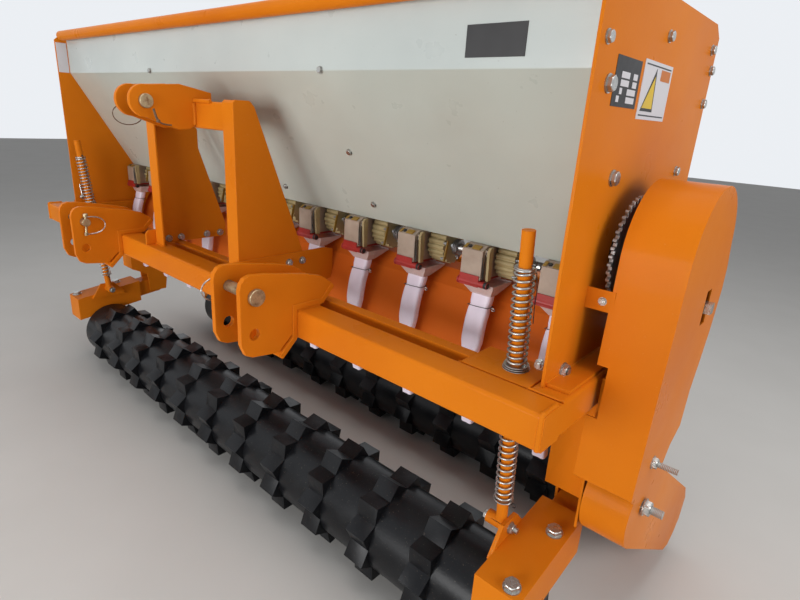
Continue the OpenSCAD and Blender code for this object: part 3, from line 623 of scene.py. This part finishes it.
def unit_parts():
    """The small parts of each metering unit: gate front, sliders, spring clip, set collar.

    Places are written from the unit's point on the seed shaft.
    """
    knobs, sliders, wires, clamps, screws, gates, straps = (Batch() for _ in range(7))
    for x in ROWS:
        o = UNIT + (x, 0, 0)
        knobs.lathe(o + (3.5, -76, -44), (1, 0, 0),
                    [(0, 0), (0, 6.6), (1, 7.2), (7.5, 7.2), (9.0, 5.8), (9.0, 0)], 20)
        gates.prism(o + np.array([(-55, -80.2, -51), (-8, -80.2, -51), (-8, -80.2, -27),
                                  (-55, -80.2, -27)]), (0, -1.6, 0))
        knobs.lathe(o + (-60.4, -76, -44), (1, 0, 0),
                    [(0, 0), (0, 4.5), (0.8, 4.5), (0.8, 0)], 16)
        for u0, u1 in ((-34, -15), (-54, -47)):
            sliders.prism(o + np.array([(u0, -77.6, 25.4), (u1, -77.6, 25.4),
                                        (u1, -66.2, 31.1), (u0, -66.2, 31.1)]),
                          (0, -1.0, 1.6))
        screws.lathe(o + (-41.5, -71.5, 28.0), (0, -0.45, 0.9),
                     [(0, 0), (0, 4.2), (2.6, 4.2), (3.2, 3.2), (3.2, 0)], 14)
        for u0, u1 in ((-8.5, -1.5), (1.0, -1.0)):
            wires.tube([o + (u0, -77.5, 24), o + ((u0 + u1) / 2, -77.8, -2),
                        o + (u1, -77.5, -33)], 1.0, 6)
        clamps.lathe(o + (51, 0, 0), (1, 0, 0),
                     [(0, 10.1), (0, 17), (1, 18), (11, 18), (12, 17), (12, 10.1), (0, 10.1)],
                     28)
        bolt(clamps, o + (57, -17, 5), (0, -0.96, 0.28), 6.5, washer=False, thread=5)
        bolt(clamps, o + (57, 0, -18), (0, 0, -1), 6.5, washer=False, thread=4)
        straps.prism(o + np.array([(66, -67, -20), (66, -60, -22), (66, -50, 22),
                                   (66, -57, 23)]), (1.6, 0, 0))
        for v, w in ((-62, -16), (-55, 16)):
            bolt(clamps, o + (66, v, w), (-1, 0, 0), 5.0, thread=6)
    knobs.done("knobs", KNOB, "black_paint", bevel=0.4)
    sliders.done("yellow_sliders", YELLOW, "cream_plastic", bevel=0.4)
    screws.done("slider_screws", KNOB, "black_paint")
    wires.done("clip_wires", CHAIN, "zinc", smooth=60)
    clamps.done("unit_clamps", STEEL, "zinc", bevel=0.3)
    straps.done("unit_straps", YELLOW, "cream_plastic", bevel=0.3)
    gates.done("gate_fronts", RED, "red_paint", bevel=0.4)


# ---------------------------------------------------------------- blank plates
def blank_plates():
    """Plain plates where the real ones carry print: nothing is lettered on them."""
    dark, white, field, sign, rim, head = (Batch() for _ in range(6))
    over = PLATE_FACE + 0.6  # what lies on a plate starts inside its thickness

    def flat(batch, x, y0, z0, y1, z1, t=0.8):
        batch.prism(np.array([(x, y0, z0), (x, y1, z0), (x, y1, z1), (x, y0, z1)]), (t, 0, 0))

    flat(dark, PLATE_FACE, 144, 1027, 236, 1092)
    # front and rear edge of each row's left field; the right one ends at 226
    for row, (y0, y1) in enumerate(((166, 196), (166, 196), (166, 175), (158, 168))):
        z = 1073 - 10.6 * row
        flat(field, over, y0, z - 8.2, y1, z, 0.5)
        flat(field, over, 210 if row < 2 else 194, z - 8.2, 226, z, 0.5)
    flat(white, PLATE_FACE, 248, 1014, 376, 1098)
    flat(rim, over, 255, 1019, 369, 1021, 0.4)
    flat(rim, over, 255, 1091, 369, 1093, 0.4)
    flat(white, -956, 80, 1072, 112, 1166)
    # a dark triangle, and a yellow one on it that is set in by 4.5 mm
    for t, batch, c in ((0.5, rim, 0.0), (0.8, sign, 4.5)):
        batch.prism(np.array([(over, 258 + c * 1.1, 1026 + c), (over, 312 - c, 1026 + c),
                              (over, 303 - c * 0.6, 1089 - c * 2.6)]), (t, 0, 0))
    flat(head, over, 324, 1073, 368, 1089, 0.5)
    dark.prism(np.array([(733, HOPPER_FRONT, 1088), (838, HOPPER_FRONT, 1088),
                         (838, HOPPER_FRONT, 1134), (733, HOPPER_FRONT, 1134)]),
               (0, -0.9, 0))
    dark.done("blank_dark_plates", DARK, "black_paint", bevel=0.2)
    white.done("blank_white_plates", LABEL, "pale_plastic")
    field.done("blank_fields", LABEL, "pale_plastic")
    rim.done("blank_rims", DARK, "black_paint")
    sign.done("blank_sign", SIGN, "cream_plastic")
    head.done("blank_heading", HEAD, "cream_plastic")


# ---------------------------------------------------------------- welds
# Path on the right-hand side, radius and seed of each bead; the left side mirrors it
SEAMS = (
    # the mast upright's flange on the front bar
    (((165, 31, 620.5), (208, 31, 620.5)), 3.0, 2),
    (((165, 37, 620.5), (165, 31, 620.5)), 2.4, 3),
    # the mast tube on the upright
    (((UPRIGHT_FACE, 38, 996), (UPRIGHT_FACE, 38, 956)), 2.6, 1),
    (((UPRIGHT_FACE, 40, 1003.5), (UPRIGHT_FACE, 80, 1003.5)), 2.4, 4),
    # the top link's plate on the mast tube
    (((41, 35, 998), (41, 35, 950)), 4.6, 5),
    (((42, 35, 1003), (112, 35, 1003)), 4.6, 5),
    # the mast foot on the front bar, and the end plate on its foot
    (((FOOT_FACE, 6, 620.5), (FOOT_FACE, 59, 620.5)), 2.4, 6),
    (((PLATE_FACE, 84, 626), (PLATE_FACE, 600, 626)), 2.2, 7),
    # the side rail on the front bar, and the cap of the bar's end
    (((945, 60, 619), (945, 60, 562)), 2.6, 8),
    (((946, 60, 620), (1004, 60, 620)), 2.2, 9),
    (((1000, 44, 620), (1000, 6, 620), (1000, 1.5, 618.5), (1000, 1, 612), (1000, 1, 563)),
     4.2, 10))
# y and z round the edge of a saddle
SADDLE_EDGE = ((62, 634), (88, 662), (96, 654), (66, 622), (-1, 622), (-1, 560),
               (-36, 526), (-44, 534), (-12, 566), (-12, 634))


def bead(batch, path, radius, seed):
    """A weld: a bar along a path whose radius rises and falls like laid drops."""
    p = np.asarray(path, float)
    run = np.r_[0, np.cumsum(np.linalg.norm(np.diff(p, axis=0), axis=1))]
    n = max(4, int(run[-1] / 1.6))
    s = np.linspace(0, run[-1], n)
    q = np.stack([np.interp(s, run, p[:, i]) for i in range(3)], 1)
    drops = 0.14 * np.abs(np.sin(s * np.pi / 5.2 + seed)) + 0.06 * np.sin(s * 0.21)
    batch.tube(q, radius * (0.88 + drops), 8, up=(0.35, 0.62, 0.70))


def welds():
    """Beads along the seams, and the edge of each saddle that stands proud of its clevis."""
    beads, ridges = Batch(), Batch()
    for side in (-1, 1):
        middle = side * CLEVIS_X
        for x, step in ((middle - CHEEK, -2.6), (middle + CHEEK, 2.6)):
            ridges.prism(np.array([(x, y, z) for y, z in SADDLE_EDGE]), (step, 0, 0))
            bead(beads, [(x, 1, 620), (x, 58, 620)], 2.0, side)
            bead(beads, [(x, 0, 619), (x, 0, 562)], 2.0, side + 1)
        for path, radius, seed in SEAMS:
            bead(beads, np.array(path) * (side, 1, 1), radius, seed)
    beads.done("welds", ORANGE, "orange_paint", smooth=60)
    ridges.done("saddle_edges", ORANGE, "orange_paint", bevel=2.0)


# ---------------------------------------------------------------- drive
def chain_radius(teeth):
    """Radius of the pins' path round a wheel: its teeth's pitch over a turn, and 5.5 mm."""
    return teeth * CHAIN_PITCH / (2 * np.pi) + 5.5


def chain_run(b, x, low, high):
    """Roller chain round two wheels: waisted side plates from pin to pin, and rollers.

    The run is two arcs joined by the outer tangent lines; pins stand a pitch apart. A
    plate's edge is a circle that is pulled apart by a pitch along the chain and narrowed
    by a bell curve at its middle. Inner and outer plates take turns.
    """
    (y0, z0, r0), (y1, z1, r1) = low, high
    d = np.hypot(y1 - y0, z1 - z0)
    base = np.arctan2(z1 - z0, y1 - y0)
    off = np.arccos((r0 - r1) / d)
    a0 = np.linspace(base + off, base + 2 * np.pi - off, 60)
    a1 = np.linspace(base - off, base + off, 60)
    ring = np.vstack([np.stack([y0 + r0 * np.cos(a0), z0 + r0 * np.sin(a0)], 1),
                      np.stack([y1 + r1 * np.cos(a1), z1 + r1 * np.sin(a1)], 1)])
    ring = np.vstack([ring, ring[:1]])
    run = np.r_[0, np.cumsum(np.linalg.norm(np.diff(ring, axis=0), axis=1))]
    n = int(round(run[-1] / CHAIN_PITCH / 2)) * 2
    s = np.linspace(0, run[-1], n, endpoint=False)
    p = np.stack([np.interp(s, run, ring[:, 0]), np.interp(s, run, ring[:, 1])], 1)
    q = np.roll(p, -1, axis=0)
    t = (q - p) / np.linalg.norm(q - p, axis=1)[:, None]
    m = np.stack([-t[:, 1], t[:, 0]], 1)
    a = np.linspace(0, 2 * np.pi, 16, endpoint=False)
    half = CHAIN_PITCH / 2
    along = np.where(np.cos(a) > 0, half, -half) + 4.6 * np.cos(a)
    across = 4.6 * np.sin(a) * (1 - 0.28 * np.exp(-(along / 4.0) ** 2))
    mid = (p + q) / 2
    flat = (mid[:, None] + along[None, :, None] * t[:, None]
            + across[None, :, None] * m[:, None])
    roller = [(0, 0), (0, 2.2), (3.8, 2.2), (3.8, 4.1), (9.8, 4.1), (9.8, 2.2), (13.6, 2.2),
              (13.6, 0)]
    for j in range(n):
        gap = 3.2 if j % 2 else 5.0
        for side in (-1, 1):
            b.prism(np.column_stack([np.full(16, x + side * gap), flat[j]]),
                    (1.5 * side, 0, 0))
        b.lathe((x - 6.8, p[j, 0], p[j, 1]), (1, 0, 0), roller, 8)


# x of each chain's middle, then the axis and the teeth of its two wheels
CHAINS = ((1072, (MID_AXIS, 18), (TOP_AXIS, 26)),
          (1046, (REAR_AXLE, 25), (MID_AXIS, 21)),
          (1033, (TOP_AXIS, 16), (SEED_SHAFT, 22)))


def chains():
    """The three fixed loops of chain, each round two wheels."""
    b = Batch()
    for x, *wheels in CHAINS:
        chain_run(b, x, *((*axis, chain_radius(teeth)) for axis, teeth in wheels))
    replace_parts(b.done("chain_links", CHAIN, "chain", smooth=40), "chains")


def drive_studs():
    """The two studs through the chain case: thick inside, threaded outside, with nuts."""
    b = Batch()
    b.lathe((1000, *MID_AXIS), (1, 0, 0), [(0, 0), (0, 12), (96, 12), (96, 0)], 24)
    bolt(b, (CASE_FACE, *MID_AXIS), (1, 0, 0), 15.5)
    bolt(b, (CASE_FACE, *TENSIONER), (1, 0, 0), 11)
    for axis, x0, x1, r in ((MID_AXIS, 1096, 1130, 7.6), (TENSIONER, 1010, 1138, 5.0)):
        n = int((x1 - x0) / THREAD_STEP)
        h = np.linspace(0, x1 - x0, n + 1)
        b.lathe((x0, *axis), (1, 0, 0),
                [(0, 0), *zip(h, thread_radii(n + 1, r, -0.45)), (x1 - x0, 0)], 20)
    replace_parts(b.done("drive_studs", ZINC, "zinc", smooth=30), "mid_stud")


# ---------------------------------------------------------------- bolts
# y, z and size of the bolts in each end plate
PLATE_BOLTS = ((101, 1107, 9), (126, 1054, 12), (200, 928, 12), (273, 804, 9),
               (579, 1148, 9), (599, 1114, 9), (594, 1054, 9), (513, 929, 9),
               (331, 1138, 9))
# x and z of the screws in the hopper's upper band and in its sloping wall
BAND_SCREWS = ((-341, 1076), (389, 1073))
SLOPE_SCREWS = ((-341, 930), (381, 917), (394, 800), (-560, 917), (0, 917), (-560, 800),
                (60, 800))


def frame_bolts():
    """Hexagon heads, nuts and washers where the photograph shows them.

    A screw's y on the sloping wall and a bolt's z on an arm's top are straight lines.
    """
    b = Batch()
    for y, z, size in PLATE_BOLTS:
        for side in (-1, 1):
            bolt(b, (side * PLATE_FACE, y, z), (side, 0, 0), size)
    for y in (140, 334, 524):
        for side in (-1, 1):
            bolt(b, (side * PLATE_FACE, y, BAR_TOP + 10), (side, 0, 0), 12.5, thread=2)
    for x, z in BAND_SCREWS:
        bolt(b, (x, HOPPER_FRONT, z), (0, -1, 0), 7)
    for x, z in SLOPE_SCREWS:
        y = HOPPER_FRONT + (FOLD_Z - z) * SLOPE_RUN / SLOPE_DROP
        bolt(b, (x, y, z), (0, -SLOPE_DROP, -SLOPE_RUN), 7)
    for side in (-1, 1):
        for y in (65, 101, 181, 224):
            bolt(b, (side * UPRIGHT_FACE, y, 632), (-side, 0, 0), 9.5)
        for y in (168, 209):
            bolt(b, (side * FOOT_FACE, y, 637), (side, 0, 0), 9, thread=3)
        for y in (46, 193):
            bolt(b, (side * 977, y, 262 + (y - 27) * 0.1386), (0, -0.137, 0.99), 15)
        bolt(b, (side * (ROD_X + 19), ROD_Y, ROD_Z), (side, 0, 0), 11, thread=8)
        bolt(b, (side * (ROD_X - 28), ROD_Y, ROD_Z), (-side, 0, 0), 10)
        bolt(b, (side * 941, 100, 645), (0, -1, 0), 9, thread=4)
        b.tube([(side * 953, 98, 690), (side * 951, 100, 665), (side * 949, 102, 640)],
               2.6, 8)
    bolt(b, (988, 182, 744), (0, -1, 0), 6.5, thread=3)
    b.done("frame_bolts", ZINC, "zinc", smooth=24)


# ---------------------------------------------------------------- surroundings
def stage():
    """A plain floor, and a world that is dim as light and pale where it is seen."""
    mesh = bpy.data.meshes.new("floor")
    mesh.from_pydata([(-14, -14, 0), (14, -14, 0), (14, 14, 0), (-14, 14, 0)], [],
                     [(0, 1, 2, 3)])
    obj = bpy.data.objects.new("floor", mesh)
    bpy.context.scene.collection.objects.link(obj)
    f = Finish("floor", (0.62, 0.60, 0.57), 0.8)
    f.set(**{"Base Color": f.mix(f.noise(3.0), (0.60, 0.58, 0.55), (0.66, 0.64, 0.61))})
    wear(obj, f)
    world = bpy.data.worlds.new("world")
    world.use_nodes = True
    bpy.context.scene.world = world
    sky = Nodes(world.node_tree)
    seen = 0.0
    for ray in ("Is Camera Ray", "Is Transmission Ray", "Is Glossy Ray"):
        seen = sky.node("ShaderNodeMath", {"operation": "MAXIMUM"},
                        {0: seen, 1: sky.node("ShaderNodeLightPath", out=ray)})
    shade = sky.tree.nodes["Background"]
    sky.put(shade.inputs["Strength"], sky.node("ShaderNodeMapRange", None,
            {"Value": seen, "To Min": 0.22, "To Max": 0.9}))
    sky.put(shade.inputs["Color"], (0.93, 0.96, 1.0, 1))


set_camera()
stage()
area_light("key", (0.25, -3.35, 0.8), (0.1, -0.1, 0.6), (2.2, 1.2), 66)
area_light("right", (3.2, -0.2, 1.5), (0.9, 0.1, 0.7), (1.6, 1.6), 34)
area_light("left", (-2.4, -2.8, 2.6), (0, 0, 0.6), (2.2, 2.2), 7, (0.95, 0.97, 1))
area_light("top", (0.2, 0.2, 3.6), (0.2, 0.1, 0.5), (3.0, 3.0), 60)

# ---------------------------------------------------------------- the machine
# How far each carried-over node's edges are rounded, in millimetres
EDGES = {"front_bar": 0, "rear_bar": 0, "side_rails": 0, "rod_brackets": 1.2,
         "end_plates": 1.4, "hopper": 0.9, "lid": 0.8, "lid_hinge": 1.0,
         "mast_uprights": 1.8, "mast_tube": 0, "mast_feet": 1.5, "top_link_plates": 1.8,
         "clevises": 2.0, "tube_guard": 1.5, "deflector": 0, "front_arms": 2.2,
         "arm_pivots": 1.8, "front_bearings": 1.8, "front_roller": 1.3, "front_axle": 0.8,
         "rear_hangers": 1.8, "rear_bearings": 1.8, "rear_roller": 1.3, "rear_axle": 0.8,
         "spring_rods": 1.2, "seed_cups": 1.2, "seed_gates": 1.0, "funnels": 0.8,
         "seed_shaft": 0.6, "fluted_rollers": 0, "shaft_bearings": 1.5,
         "shaft_sprocket": 0.3, "drive_case": 2.6, "drive_plate": 1.0,
         "mid_sprockets": 0.3, "lower_cover": 2.2, "axle_sprocket": 0.3,
         "top_sprockets": 0.3}
for part, width in EDGES.items():
    # The deflector wears the orange that is darkened as painted shade.
    if part == "deflector":
        dress(part, width, finish=SHADED_ORANGE, angle=18.0)
    else:
        dress(part, width)
springs()
rod_fittings()
pins()
seed_tubes()
hose_ties()
unit_parts()
blank_plates()
welds()
chains()
frame_bolts()
drive_studs()

scene = bpy.context.scene
scene.view_settings.view_transform = "Standard"
